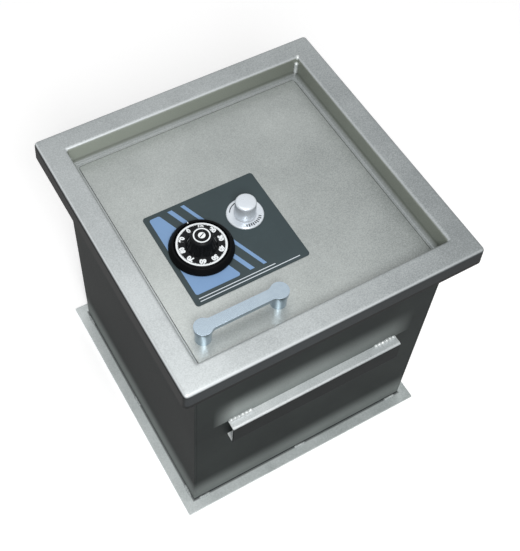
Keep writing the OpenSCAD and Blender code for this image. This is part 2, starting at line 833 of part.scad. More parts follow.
module open_knob() {
    low = face_z + escutcheon_t + turn_gap;
    top = lid_top + knob_h;
    color("white") translate([knob_x, knob_y, 0]) rotate_extrude() difference() {
        union() {
            translate([0, low]) square([knob_r, top - knob_edge_r - low]);
            translate([0, low]) square([knob_r - knob_edge_r, top - low]);
            intersection() {
                translate([knob_r - knob_edge_r, top - knob_edge_r]) circle(knob_edge_r);
                translate([0, low]) square([knob_r, top - low]);
            }
        }
        square([knob_spindle_r, top - knob_cap]);
    }
}

// The spindle's thinner end carries the cam and its nut
module knob_spindle() {
    color(steel) {
        rod(knob_x, knob_y, cam_top, lid_top + knob_h - knob_cap, knob_spindle_r);
        rod(knob_x, knob_y, cam_bot - nut_t - 2, cam_top, spindle_end_r);
    }
}

// Slot along a spiral whose radius grows evenly with the angle, so that the bolts move
// in step with the knob. start is the direction of the pin with the bolts drawn.
scroll_grow = bolt_throw / knob_turn * 180 / PI;
function scroll_point(a, start, off) =
    let (r = cam_start_r + bolt_throw * a / knob_turn,
         n = sqrt(r * r + scroll_grow * scroll_grow),
         er = [cos(start - a), sin(start - a)], et = [sin(start - a), -cos(start - a)])
    r * er + off * (r * er - scroll_grow * et) / n;

module scroll_slot(start) {
    half = follower_r + slot_fit;
    steps = 18;
    linear_extrude(cam_t + 2 * over) {
        polygon(concat(
            [for (k = [0 : steps]) scroll_point(knob_turn * k / steps, start, half)],
            [for (k = [steps : -1 : 0]) scroll_point(knob_turn * k / steps, start, -half)]
        ));
        for (a = [0, knob_turn]) translate(scroll_point(a, start, 0)) circle(half);
    }
}

module scroll_cam() {
    color(brass_yellow) difference() {
        rod(knob_x, knob_y, cam_bot, cam_top, cam_rim);
        bore(knob_x, knob_y, cam_bot, cam_top, spindle_end_r);
        for (side = [-1, 1]) translate([knob_x, knob_y, cam_bot - over]) scroll_slot(side * 90);
    }
}

module cam_nut() {
    color(plated) difference() {
        translate([knob_x, knob_y, cam_bot - nut_t])
            cylinder(r = spindle_nut_r, h = nut_t, $fn = 6);
        bore(knob_x, knob_y, cam_bot - nut_t, cam_bot, spindle_end_r);
    }
}

// Bolt work: side is -1 for the front and 1 for the back

// Arm from the cam to the cross bar, welded to the bar's inner face. The front one is
// notched for the tongue of the lock bolt.
module cam_arm(side) {
    inner_y = knob_y + side * (bush_r + arm_gap);
    outer_y = side * (cross_y - cross_t);
    left = knob_x - arm_w / 2;
    tongue_end = lock_x1 - tongue_inset + lock_throw;
    z0 = bolt_z - arm_t / 2;
    z1 = bolt_z + arm_t / 2;
    color(steel) difference() {
        translate([left, min(inner_y, outer_y), z0])
            cube([arm_w, abs(outer_y - inner_y), arm_t]);
        bore(knob_x, knob_y + side * cam_start_r, z0, z1, follower_r);
        if (side < 0)
            translate([left - over, dial_y - tongue_w / 2 - tongue_gap, z0 - over])
                cube([tongue_end + tongue_gap - left + over, tongue_w + 2 * tongue_gap,
                      arm_t + 2 * over]);
    }
}

module cross_bar(side) {
    color(steel) difference() {
        translate([0, side * (cross_y - cross_t / 2), bolt_z])
            cube([bolt_spacing + 2 * cross_over, cross_t, cross_h], center = true);
        for (s = [-1, 1])
            translate([s * bolt_spacing / 2, side * (cross_y - cross_t - over), bolt_z])
                rotate([-side * 90, 0, 0]) cylinder(r = spigot_r, h = cross_t + 2 * over);
    }
}

module bolt_pair(side) {
    shank_end = bolt_tip - bolt_bevel;
    color(plated) for (s = [-1, 1])
        translate([s * bolt_spacing / 2, 0, bolt_z]) rotate([-side * 90, 0, 0]) {
            translate([0, 0, cross_y]) cylinder(r = bolt_d / 2, h = shank_end - cross_y);
            translate([0, 0, shank_end])
                cylinder(r1 = bolt_d / 2, r2 = bolt_d / 2 - bolt_bevel, h = bolt_bevel);
            translate([0, 0, cross_y - cross_t - nut_t])
                cylinder(r = spigot_r, h = cross_t + nut_t);
        }
}

module bolt_nuts(side) {
    color(plated) for (s = [-1, 1])
        translate([s * bolt_spacing / 2, side * (cross_y - cross_t - nut_t), bolt_z])
            rotate([-side * 90, 0, 0]) difference() {
                cylinder(r = spigot_nut_r, h = nut_t, $fn = 6);
                translate([0, 0, -over]) cylinder(r = spigot_r, h = nut_t + 2 * over);
            }
}

module follower_pin(side) {
    color(plated) rod(knob_x, knob_y + side * cam_start_r, cam_bot - turn_gap,
                      bolt_z + arm_t / 2, follower_r);
}

// Lock bolt with its lever, fence and pivot

// The lock bolt is stepped down at its inner end, where the lever lies on it
module lock_bolt() {
    z0 = drive_top - lock_bolt_t;
    body_len = lock_bolt_len - tongue_len;
    color(steel) difference() {
        union() {
            translate([lock_bolt_x0, dial_y - lock_bolt_w / 2, z0])
                cube([body_len, lock_bolt_w, lock_bolt_t]);
            translate([lock_bolt_x0 + body_len, dial_y - tongue_w / 2, z0])
                cube([tongue_len, tongue_w, lock_bolt_t]);
        }
        translate([lock_bolt_x0 - over, dial_y - lock_bolt_w, lever_z - slide_fit])
            cube([lever_step_len + over, 2 * lock_bolt_w, lock_bolt_t]);
        bore(lever_pin_x, lever_pin_y, z0, drive_top, lever_pin_r);
    }
}

// The lever reaches from its pin to the fence, with a nose that drops into the drive cam
module lever() {
    nose = drive_cam_r + fence_gap - fence_reach;
    color(brass_yellow) difference() {
        translate([0, 0, lever_z]) linear_extrude(lever_t) {
            hull() {
                translate([lever_pin_x, lever_pin_y]) circle(lever_r + 1.5, $fn = 32);
                translate([fence_x, fence_y]) circle(lever_r, $fn = 32);
            }
            translate([fence_x, fence_y]) rotate(fence_angle) polygon([
                [0, -nose_w / 2], [0, nose_w / 2], [nose, nose_tip_w / 2], [nose, -nose_tip_w / 2]
            ]);
        }
        bore(lever_pin_x, lever_pin_y, lever_z, drive_top, lever_pin_r + run_fit);
        bore(fence_x, fence_y, lever_z, drive_top, fence_r);
    }
}

module lever_pin() {
    head_z = drive_top + slide_fit;
    color(plated) {
        rod(lever_pin_x, lever_pin_y, drive_top - lock_bolt_t, head_z, lever_pin_r);
        rod(lever_pin_x, lever_pin_y, head_z, head_z + 1, lever_pin_r + 1.5);
    }
}

// The fence stands beside all three wheels
module fence_pin() {
    color(steel) rod(fence_x, fence_y, lever_z, roof_z - wheel_gap / 2, fence_r);
}

base_plate();
side_wall(-1);  // wall_left
side_wall(1);  // wall_right
end_wall(-1);  // wall_front
end_wall(1);  // wall_back
base_welds();
frame_front();
frame_back();
frame_left();
frame_right();
anchor_bar(1);  // anchor_bar_front
anchor_bar(-1);  // anchor_bar_back
anchor_bar_welds();
seat_rail_end(-1);  // seat_rail_front
seat_rail_end(1);  // seat_rail_back
seat_rail_side(-1);  // seat_rail_left
seat_rail_side(1);  // seat_rail_right
lid_seal();
lid_plate();
label_plate();
handle();
handle_screws();
dial_ring();
knob_escutcheon();
spindle_bush();
guide_bar(-1);  // guide_bar_front
guide_bar(1);  // guide_bar_back
guide_bar_screws();
hard_plate();
lock_case();
lock_cover();
lock_screws();
wheel_post();
dial();
dial_spindle();
drive_cam();
wheel(0);  // wheel_1
wheel(1);  // wheel_2
wheel(2);  // wheel_3
open_knob();
knob_spindle();
scroll_cam();
cam_nut();
cam_arm(-1);  // cam_arm_front
cross_bar(-1);  // cross_bar_front
bolt_pair(-1);  // bolts_front
bolt_nuts(-1);  // bolt_nuts_front
follower_pin(-1);  // follower_pin_front
cam_arm(1);  // cam_arm_back
cross_bar(1);  // cross_bar_back
bolt_pair(1);  // bolts_back
bolt_nuts(1);  // bolt_nuts_back
follower_pin(1);  // follower_pin_back
lock_bolt();
lever();
lever_pin();
fence_pin();
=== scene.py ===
"""Floor safe with a lift-out lid, dressed over its CAD frame, in metres."""
import math
import random

import bpy
from mathutils import Matrix, Vector


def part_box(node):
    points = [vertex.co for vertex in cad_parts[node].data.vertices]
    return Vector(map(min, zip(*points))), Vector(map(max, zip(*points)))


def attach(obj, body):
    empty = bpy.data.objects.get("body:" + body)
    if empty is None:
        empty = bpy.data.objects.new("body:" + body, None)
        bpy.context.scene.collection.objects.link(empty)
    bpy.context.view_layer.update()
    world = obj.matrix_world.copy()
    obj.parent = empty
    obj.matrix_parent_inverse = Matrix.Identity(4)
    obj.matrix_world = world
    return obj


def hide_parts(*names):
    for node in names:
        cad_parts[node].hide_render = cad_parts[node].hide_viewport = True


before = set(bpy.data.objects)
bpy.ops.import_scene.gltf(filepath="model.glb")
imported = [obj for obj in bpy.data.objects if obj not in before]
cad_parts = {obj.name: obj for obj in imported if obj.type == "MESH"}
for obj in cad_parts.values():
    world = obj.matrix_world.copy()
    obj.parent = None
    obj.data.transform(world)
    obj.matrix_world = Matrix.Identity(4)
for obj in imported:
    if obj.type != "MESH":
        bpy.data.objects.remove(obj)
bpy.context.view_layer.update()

# Base plate. A square of 4 mm hot-dip galvanised steel, wider than the box, so that the
# concrete floor grips its flange. Sheared to size and deburred, flat and never machined.


def linear(code):
    """An sRGB hex colour as the linear colour that a shader socket takes."""
    parts = [int(code[i:i + 2], 16) / 255 for i in (1, 3, 5)]
    return tuple(p / 12.92 if p <= 0.04045 else ((p + 0.055) / 1.055) ** 2.4 for p in parts) + (1,)


def fill(node, links):
    """Fills a node's inputs, by name or number, with values, sockets or other nodes' results."""
    for name, value in links.items():
        if isinstance(name, str):
            socket = next(s for s in node.inputs if s.enabled and s.name == name)
        else:
            socket = node.inputs[name]
        if isinstance(value, bpy.types.Node):
            value = next(s for s in value.outputs if s.enabled)
        if isinstance(value, bpy.types.NodeSocket):
            node.id_data.links.new(value, socket)
        else:
            socket.default_value = value


def add(tree, kind, links=None, **settings):
    """Adds a shader node, gives it its settings, and fills its inputs."""
    node = tree.nodes.new("ShaderNode" + kind)
    for name, value in settings.items():
        setattr(node, name, value)
    fill(node, links or {})
    return node


def per(size):
    """The scale of a texture whose features are that many millimetres wide."""
    return 1000 / size


def start_material(name, values):
    """A material with its shader's own values set; gives it, its tree, shader and object place."""
    made = bpy.data.materials.new(name)
    made.use_nodes = True
    tree = made.node_tree
    tree.nodes.clear()
    shader = add(tree, "BsdfPrincipled", values)
    add(tree, "OutputMaterial", {"Surface": shader})
    return made, tree, shader, add(tree, "TexCoord").outputs["Object"]


def axes(tree, what="Object"):
    """A point's place in metres, or with "Normal" where its surface faces, split by axis."""
    return add(tree, "SeparateXYZ", {0: add(tree, "TexCoord").outputs[what]}).outputs


def farthest(tree):
    """How far a point stands from the middle along X or Y, whichever is more, in metres."""
    at = axes(tree)
    apart = [add(tree, "Math", {0: at[k]}, operation="ABSOLUTE") for k in "XY"]
    return add(tree, "Math", {0: apart[0], 1: apart[1]}, operation="MAXIMUM")


def metal(name, bright, deep, grain, relief, rough, metallic=1.0, cloud=60, sheen=0.5,
          cloudy=0.45, painted_light_lean=0, painted_light_twist=0, upright_shade=None, upright_shade_from=0, inner=None):
    """Bare or plated metal: a fine grain in mm with its relief in mm, under broad clouds.

    bright and deep are the ends of its colour, and cloudy is how much of the change between
    them the clouds make. painted_light_lean is how far painted light lightens the tone at the
    far left and painted shade darkens it at the right. painted_light_twist is how far painted
    light lightens it at the front left and back right corners and painted shade darkens it at
    the other two. upright_shade holds the darker colours painted as shade on its upright faces
    that stand further than upright_shade_from mm from the middle, and inner those painted as
    shade on the nearer ones.
    """
    reach, upright_rough = 0.2, 0.6
    made, tree, shader, place = start_material(name, {"Specular IOR Level": sheen})
    fine = add(tree, "TexNoise",
               {"Vector": place, "Scale": per(grain), "Detail": 4.0, "Roughness": 0.65})
    cells = add(tree, "TexVoronoi", {"Vector": place, "Scale": per(grain * 2.6)})
    broad = add(tree, "TexNoise",
                {"Vector": place, "Scale": per(cloud), "Detail": 5.0, "Roughness": 0.6})
    specks = add(tree, "MapRange", {"Value": fine, "From Min": 0.3, "From Max": 0.7})
    clouds = add(tree, "MapRange", {"Value": broad, "From Min": 0.32, "From Max": 0.68})
    spread = add(tree, "Math", {0: specks, 1: 0.55, 2: (0.45 - cloudy) / 2},
                 operation="MULTIPLY_ADD")
    mixed = add(tree, "Math", {0: clouds, 1: cloudy, 2: spread}, operation="MULTIPLY_ADD")
    at = axes(tree)
    # Painted light and shade: lighter towards the left and at the front left and back right
    # corners, darker towards the right and at the other two corners.
    shade = add(tree, "Math", {0: at["X"], 1: -painted_light_lean / reach, 2: mixed}, operation="MULTIPLY_ADD")
    corner = add(tree, "Math", {0: at["X"], 1: at["Y"]}, operation="MULTIPLY")
    shade = add(tree, "Math", {0: corner, 1: painted_light_twist / reach ** 2, 2: shade},
                operation="MULTIPLY_ADD", use_clamp=True)
    tone = add(tree, "Mix", {"Factor": shade, "A": linear(deep), "B": linear(bright)},
               data_type="RGBA")
    gloss = add(tree, "MapRange", {"Value": mixed, "To Min": rough * 1.25, "To Max": rough * 0.8})
    # Painted shade: upright faces get darker colours, and the outer ones turn rough and not
    # metallic.
    if upright_shade:
        flat = add(tree, "Math", {0: axes(tree, "Normal")["Z"]}, operation="ABSOLUTE")
        level = add(tree, "MapRange", {"Value": flat, "From Min": 0.25, "From Max": 0.85},
                    interpolation_type="SMOOTHSTEP")
        inside = add(tree, "Math", {0: farthest(tree), 1: upright_shade_from / 1000},
                     operation="LESS_THAN")
        bare = add(tree, "Math", {0: level, 1: inside}, operation="MAXIMUM")
        dull = add(tree, "Mix", {"Factor": mixed, "A": linear(upright_shade[0]), "B": linear(upright_shade[1])},
                   data_type="RGBA")
        near = tone
        if inner:
            near = add(tree, "Mix", {"Factor": mixed, "A": linear(inner[0]),
                                     "B": linear(inner[1])}, data_type="RGBA")
        upright = add(tree, "Mix", {"Factor": inside, "A": dull, "B": near}, data_type="RGBA")
        tone = add(tree, "Mix", {"Factor": level, "A": upright, "B": tone}, data_type="RGBA")
        gloss = add(tree, "Mix", {"Factor": bare, "A": upright_rough, "B": gloss})
        metallic = add(tree, "Math", {0: bare, 1: metallic}, operation="MULTIPLY")
    height = add(tree, "Math", {0: cells, 1: 0.5, 2: fine}, operation="MULTIPLY_ADD")
    bump = add(tree, "Bump", {"Height": height, "Strength": 1.0, "Distance": relief / 1000})
    fill(shader, {"Base Color": tone, "Roughness": gloss, "Metallic": metallic, "Normal": bump})
    return made


def over(finish, colour, mask):
    """Lays a colour over a finish where the mask is 1."""
    shader = next(n for n in finish.node_tree.nodes if n.type == "BSDF_PRINCIPLED")
    below = shader.inputs["Base Color"].links[0].from_socket
    laid = add(finish.node_tree, "Mix", {"Factor": mask, "A": below, "B": linear(colour)},
               data_type="RGBA")
    fill(shader, {"Base Color": laid})


def overlap(tree, *masks):
    """The mask that is left where all of these masks lie."""
    shared = masks[0]
    for mask in masks[1:]:
        shared = add(tree, "Math", {0: shared, 1: mask}, operation="MULTIPLY")
    return shared


def dress(finish, *nodes):
    """Gives CAD nodes, or new pieces, a finish on every slot."""
    for name in nodes:
        mesh = (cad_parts[name] if isinstance(name, str) else name).data
        mesh.materials.clear()
        mesh.materials.append(finish)


def pick(*pieces):
    """Selects these pieces alone and makes the first one the active one."""
    bpy.ops.object.select_all(action="DESELECT")
    for piece in pieces:
        piece.select_set(True)
    bpy.context.view_layer.objects.active = pieces[0]


def soften(piece, width, sharp=30):
    """Rounds the active piece's edges over sharp degrees by width in mm, and evens its shading."""
    ease = piece.modifiers.new("ease", "BEVEL")
    ease.width = width / 1000
    ease.segments = 2
    ease.limit_method = "ANGLE"
    ease.angle_limit = math.radians(sharp)
    bpy.ops.object.modifier_apply(modifier="ease")
    bpy.ops.object.shade_smooth_by_angle(angle=math.radians(30))
    level = piece.modifiers.new("level", "WEIGHTED_NORMAL")
    level.keep_sharp = True
    bpy.ops.object.modifier_apply(modifier="level")


def eased(node, body, finish, width):
    """Stands for a CAD node: its triangles joined, its sharp edges eased by width in mm."""
    piece = bpy.data.objects.new(node + "_eased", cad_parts[node].data.copy())
    bpy.context.scene.collection.objects.link(piece)
    pick(piece)
    bpy.ops.object.mode_set(mode="EDIT")
    bpy.ops.mesh.select_all(action="SELECT")
    bpy.ops.mesh.remove_doubles(threshold=1e-6)
    bpy.ops.mesh.dissolve_limited(angle_limit=math.radians(0.3))
    bpy.ops.object.mode_set(mode="OBJECT")
    soften(piece, width)
    dress(finish, piece)
    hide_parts(node)
    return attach(piece, body)


# Galvanised plate: zinc with a fine crystal mottle, drawn 1.7 mm wide, as coarse as it shows.
# Painted light lightens it towards the left, and painted shade darkens it towards the right.
galvanised = metal("galvanised_steel", "#D6DCDC", "#A3ABAA", grain=1.7, relief=0.06, rough=0.45,
                   metallic=0.25, cloud=45, sheen=0.2, painted_light_lean=0.3)
# A dark line of painted shade lies on the plate, all along the foot of the walls.
shade_line_in, shade_line_full, shade_line_out = 0.173, 0.1755, 0.1768
tree = galvanised.node_tree
apart = farthest(tree)
beside = add(tree, "MapRange", {"Value": apart, "From Min": shade_line_out, "From Max": shade_line_full,
                                "To Max": 0.7})
beyond = add(tree, "Math", {0: apart, 1: shade_line_in}, operation="GREATER_THAN")
upper = add(tree, "Math", {0: axes(tree)["Z"], 1: 0.003}, operation="GREATER_THAN")
over(galvanised, "#2A3032", overlap(tree, beside, beyond, upper))
eased("base_plate", "safe", galvanised, 0.5)

# Walls. Four 3 mm cold-rolled steel plates, welded into a square box and primed with a thin
# dark oil-based coat, through which the rolled sheet still shows.

# Primed steel: near black and matt, with flecks of 2 mm and clouds of 90 mm.
primed, tree, shader, place = start_material("dark_primed_steel", {"Metallic": 0.0,
                                                                   "Specular IOR Level": 0.06})
fleck = add(tree, "TexNoise",
            {"Vector": place, "Scale": per(2.2), "Detail": 4.0, "Roughness": 0.6})
cloud = add(tree, "TexNoise",
            {"Vector": place, "Scale": per(90), "Detail": 4.0, "Roughness": 0.55})
faint = add(tree, "Math", {0: fleck, 1: 0.5}, operation="MULTIPLY")
both = add(tree, "Math", {0: cloud, 1: 0.5, 2: faint}, operation="MULTIPLY_ADD")
tone = add(tree, "MapRange", {"Value": both, "From Min": 0.35, "From Max": 0.65})
coat = add(tree, "Mix", {"Factor": tone, "A": linear("#1C2020"), "B": linear("#282D2C")},
           data_type="RGBA")
matt = add(tree, "MapRange", {"Value": fleck, "To Min": 0.5, "To Max": 0.7})
skin = add(tree, "Bump", {"Height": fleck, "Strength": 0.8, "Distance": 0.00006})
fill(shader, {"Base Color": coat, "Roughness": matt, "Normal": skin})
# The left wall is painted darker, as painted shade.
left = add(tree, "MapRange", {"Value": axes(tree, "Normal")["X"], "From Min": -0.4,
                              "From Max": -0.8, "To Max": 0.55})
over(primed, "#050606", left)
# A painted reflection of the base plate and of each bar lies in a pale soft band on the walls
# above them, where it ends before the bar does and thins out towards the right.
foot_full, foot_end = 0.022, 0.07
bar_top, bar_full, bar_end = 0.221, 0.236, 0.285
at = axes(tree)
foot = add(tree, "MapRange", {"Value": at["Z"], "From Min": foot_end, "From Max": foot_full,
                              "To Max": 0.66}, interpolation_type="SMOOTHSTEP")
above = add(tree, "MapRange", {"Value": at["Z"], "From Min": bar_end, "From Max": bar_full},
            interpolation_type="SMOOTHSTEP")
over_bar = add(tree, "Math", {0: at["Z"], 1: bar_top}, operation="GREATER_THAN")
along = add(tree, "Math", {0: at["X"]}, operation="ABSOLUTE")
short = add(tree, "MapRange", {"Value": along, "From Min": 0.148, "From Max": 0.118})
thinner = add(tree, "MapRange", {"Value": at["X"], "From Min": -0.02, "From Max": 0.12,
                                 "To Min": 1.0, "To Max": 0.45})
reflection_band = add(tree, "Math", {0: foot, 1: overlap(tree, above, over_bar, short, thinner)},
            operation="MAXIMUM")
patchy = add(tree, "MapRange", {"Value": both, "From Min": 0.3, "From Max": 0.6,
                                "To Min": 0.7, "To Max": 1.0})
over(primed, "#8E9593", overlap(tree, reflection_band, patchy))
# A dark line of painted shade lies where the walls stand on the plate.
foot_crease_shade = add(tree, "Math", {0: at["Z"], 1: 0.0078}, operation="LESS_THAN")
over(primed, "#15191A", foot_crease_shade)
for side in ("left", "right", "front", "back"):
    eased("wall_" + side, "safe", primed, 0.4)

# Base welds. Short stitches of steel weld join the box to the base plate, three along each
# wall. Each is a row of overlapping beads laid by hand, left unground.


def bead_row(start, end, radius, count, seed):
    """A stitch of weld between two points in mm: joined blobs, remeshed into one skin."""
    stray = 0.25
    dice = random.Random(seed)
    bpy.ops.object.select_all(action="DESELECT")
    blobs = []
    for i in range(count):
        t = (i + 0.5) / count
        spot = [a + (b - a) * t + dice.uniform(-stray, stray) for a, b in zip(start, end)]
        bpy.ops.mesh.primitive_ico_sphere_add(subdivisions=2, location=[c / 1000 for c in spot],
                                              radius=radius * dice.uniform(0.82, 1.05) / 1000)
        blobs.append(bpy.context.object)
    pick(*blobs)
    bpy.ops.object.join()
    row = blobs[0]
    bpy.ops.object.transform_apply(location=True, rotation=True, scale=True)
    skin = row.modifiers.new("skin", "REMESH")
    skin.mode = "VOXEL"
    skin.voxel_size = 0.0006
    skin.use_smooth_shade = True
    bpy.ops.object.modifier_apply(modifier="skin")
    soft = row.modifiers.new("soft", "SMOOTH")
    soft.iterations = 3
    bpy.ops.object.modifier_apply(modifier="soft")
    return row


def joined(name, parts, body, slot, finish, *stands_for):
    """Joins made parts into one named piece that rides on a body."""
    pick(*parts)
    if len(parts) > 1:
        bpy.ops.object.join()
    piece = parts[0]
    piece.name = name
    dress(finish, piece)
    if stands_for:
        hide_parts(*stands_for)
    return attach(piece, body)


# Galvanised weld: rippled steel with small pits, dulled by the zinc over it.
dull_weld = metal("galvanised_weld_steel", "#C6CCCC", "#8A9090", grain=1.2, relief=0.12,
                  rough=0.5, metallic=0.2, cloud=9, sheen=0.2)
# The walls' outer faces stand wall_face mm from the middle, on the plate's upper face.
wall_face, plate_top, stitch = 174, 4, 16
off, high = wall_face + 1.6, plate_top + 0.4
rows = []
seed = 1
for middle in (-158, 0, 158):
    a, b = middle - stitch / 2, middle + stitch / 2
    for start, end in (((a, -off), (b, -off)), ((off, a), (off, b)), ((a, off), (b, off)),
                       ((-off, a), (-off, b))):
        rows.append(bead_row((*start, high), (*end, high), radius=2.4, count=6, seed=seed))
        seed += 1
joined("base_weld_beads", rows, "safe", "galvanised_steel", dull_weld, "base_welds")

# Anchor bars. A channel of 3 mm galvanised sheet, folded on a press brake, stands off the front
# and the back wall, open to the wall, and keys the safe into the concrete. A stitch of weld
# above and below each end holds it.


def box_mm(node):
    """The lowest and the highest corner of a CAD node, in mm."""
    return [corner * 1000 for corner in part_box(node)]


# The same zinc on thinner sheet, bright on the flanges and the sheared ends, with its colour
# painted lighter than the plate's and lighter still towards the left, as painted light, while
# the upright web is painted dark, as painted shade.
bar_finish = metal("galvanised_bar_steel", "#E8ECED", "#B2B9BA", grain=1.7, relief=0.06,
                   rough=0.45, metallic=0.25, cloud=45, sheen=0.08, painted_light_lean=0.5,
                   upright_shade=("#0A0D0E", "#131718"), upright_shade_from=186)
# Weld metal: bright rippled steel with small dark pits.
weld_metal = metal("weld_steel", "#E4E8E8", "#9FA5A5", grain=1.2, relief=0.12, rough=0.38,
                   metallic=0.4, cloud=9)
for side in ("front", "back"):
    eased("anchor_bar_" + side, "safe", bar_finish, 0.3)
bar_low, bar_high = box_mm("anchor_bar_front")
near_end, far_end = bar_high.x - 34, bar_high.x - 1
proud = 1.1
rows = []
for y in (-wall_face - proud, wall_face + proud):
    for x in (-1, 1):
        for z in (bar_low.z - proud, bar_high.z + proud):
            rows.append(bead_row((x * near_end, y, z), (x * far_end, y, z),
                                 radius=3.7, count=6, seed=seed))
            seed += 1
joined("anchor_bar_weld_beads", rows, "safe", "galvanised_steel", weld_metal, "anchor_bar_welds")

# Seat rails. Four flat bars of black hot-rolled steel, welded inside the walls. They carry the
# lid, and the bolts catch under them.

# Mill scale: blue-black, with clouds of 40 mm where it has been rubbed lighter.
scaled_steel = metal("hot_rolled_steel", "#7C8083", "#4A4D50", grain=3, relief=0.08, rough=0.5,
                     metallic=0.9, cloud=40)
for side in ("front", "back", "left", "right"):
    eased("seat_rail_" + side, "safe", scaled_steel, 0.5)

# Lid seal. A flat black nitrile rubber gasket, die-cut from sheet and glued on the rails, so
# that the lid lies on it without a rattle.

# Nitrile rubber: matt black with fine pores and a faint grey bloom.
rubber, tree, shader, place = start_material("nitrile_rubber", {"Metallic": 0.0})
pore = add(tree, "TexNoise", {"Vector": place, "Scale": per(1.2), "Detail": 3.0})
bloom = add(tree, "TexNoise", {"Vector": place, "Scale": per(25), "Detail": 3.0})
tone = add(tree, "Mix", {"Factor": bloom, "A": linear("#151617"), "B": linear("#2B2C2D")},
           data_type="RGBA")
matt = add(tree, "MapRange", {"Value": pore, "To Min": 0.6, "To Max": 0.85})
skin = add(tree, "Bump", {"Height": pore, "Distance": 0.00008})
fill(shader, {"Base Color": tone, "Roughness": matt, "Normal": skin})
eased("lid_seal", "safe", rubber, 0.2)

# Top frame. Four members pressed from 3 mm steel, mitred and welded at the corners: a lip
# turned down outside, a flat top, a recess wall and a ledge round the lid.

# Zinc-plated sheet with a fine hammered grain of 1.5 mm. Painted light lightens its flat faces
# towards the left and at the front left and back right corners, while the lip and the recess
# walls are painted darker, as painted shade.
frame_finish = metal("plated_frame_steel", "#BABFC0", "#7F8485", grain=1.5, relief=0.08,
                     rough=0.38, metallic=0.35, cloud=120, sheen=0.15, cloudy=0.3, painted_light_lean=0.22,
                     painted_light_twist=0.2, upright_shade=("#23272A", "#313537"), upright_shade_from=185,
                     inner=("#7B8078", "#93988E"))
tree = frame_finish.node_tree
at = axes(tree)
facing = axes(tree, "Normal")
apart = farthest(tree)
# The upper bends that face the front or the left carry a painted highlight, strongest at the left.
turning = add(tree, "MapRange", {"Value": facing["Z"], "From Min": 0.45, "From Max": 0.75},
              interpolation_type="SMOOTHSTEP")
not_flat = add(tree, "MapRange", {"Value": facing["Z"], "From Min": 0.98, "From Max": 0.8},
               interpolation_type="SMOOTHSTEP")
high_up = add(tree, "Math", {0: at["Z"], 1: 0.395}, operation="GREATER_THAN")
sideways = add(tree, "Math", {0: facing["X"], 1: facing["Y"]}, operation="ADD")
towards = add(tree, "Math", {0: sideways, 1: 0.0}, operation="LESS_THAN")
highlight_left_fade = add(tree, "MapRange", {"Value": at["X"], "From Min": -0.2, "From Max": 0.17,
                                "To Min": 1.0, "To Max": 0.35})
over(frame_finish, "#C9CED0", overlap(tree, turning, not_flat, high_up, towards, highlight_left_fade))
# The lip is painted darker, as painted shade: a dark line along its foot, all over its left
# side, and more towards its right end. The lip is what stands this far out, in metres.
lip_from = 0.19
outside = add(tree, "Math", {0: apart, 1: lip_from}, operation="GREATER_THAN")
upright = add(tree, "MapRange", {"Value": facing["Z"], "From Min": 0.2, "From Max": 0.1})
foot = add(tree, "MapRange", {"Value": at["Z"], "From Min": 0.3862, "From Max": 0.3842},
           interpolation_type="SMOOTHSTEP")
leftward = add(tree, "MapRange", {"Value": facing["X"], "From Min": -0.6, "From Max": -0.9,
                                  "To Max": 0.95})
rightward = add(tree, "MapRange", {"Value": at["X"], "From Min": -0.05, "From Max": 0.2,
                                   "To Max": 0.55})
lip_shade = overlap(tree, foot, upright, outside)
for mask in (overlap(tree, leftward, outside), overlap(tree, rightward, outside, upright)):
    lip_shade = add(tree, "Math", {0: lip_shade, 1: mask}, operation="MAXIMUM")
over(frame_finish, "#030404", lip_shade)
# The back recess wall is painted lighter towards the left, as painted light, and the bend at
# the foot of the recess is painted darker, as painted shade.
within = add(tree, "Math", {0: apart, 1: lip_from}, operation="LESS_THAN")
to_front = add(tree, "MapRange", {"Value": facing["Y"], "From Min": -0.8, "From Max": -0.97})
lighter = add(tree, "MapRange", {"Value": at["X"], "From Min": 0.12, "From Max": -0.16,
                                 "To Max": 0.4})
over(frame_finish, "#C3C9BE", overlap(tree, lighter, to_front, within))
low_down = add(tree, "MapRange", {"Value": at["Z"], "From Min": 0.384, "From Max": 0.381})
leaning = add(tree, "MapRange", {"Value": facing["Z"], "From Min": 0.99, "From Max": 0.93,
                                 "To Max": 0.45})
over(frame_finish, "#555A55", overlap(tree, low_down, leaning, within))


def corner_loop(half, corner):
    """The points of a square with rounded corners, in mm, right round from the +X +Y corner."""
    steps = 8
    points = []
    for quarter, (x, y) in enumerate(((1, 1), (-1, 1), (-1, -1), (1, -1))):
        for i in range(steps + 1):
            turn = math.radians(90 * (quarter + i / steps))
            points.append((x * (half - corner) + corner * math.cos(turn),
                           y * (half - corner) + corner * math.sin(turn)))
    return points


def bend(half, z, radius, start):
    """A quarter bend of the sheet: (half size, height) round its centre, from a start angle."""
    turns = [math.radians(start + 15 * i) for i in range(7)]
    return [(half + radius * math.cos(turn), z + radius * math.sin(turn)) for turn in turns]


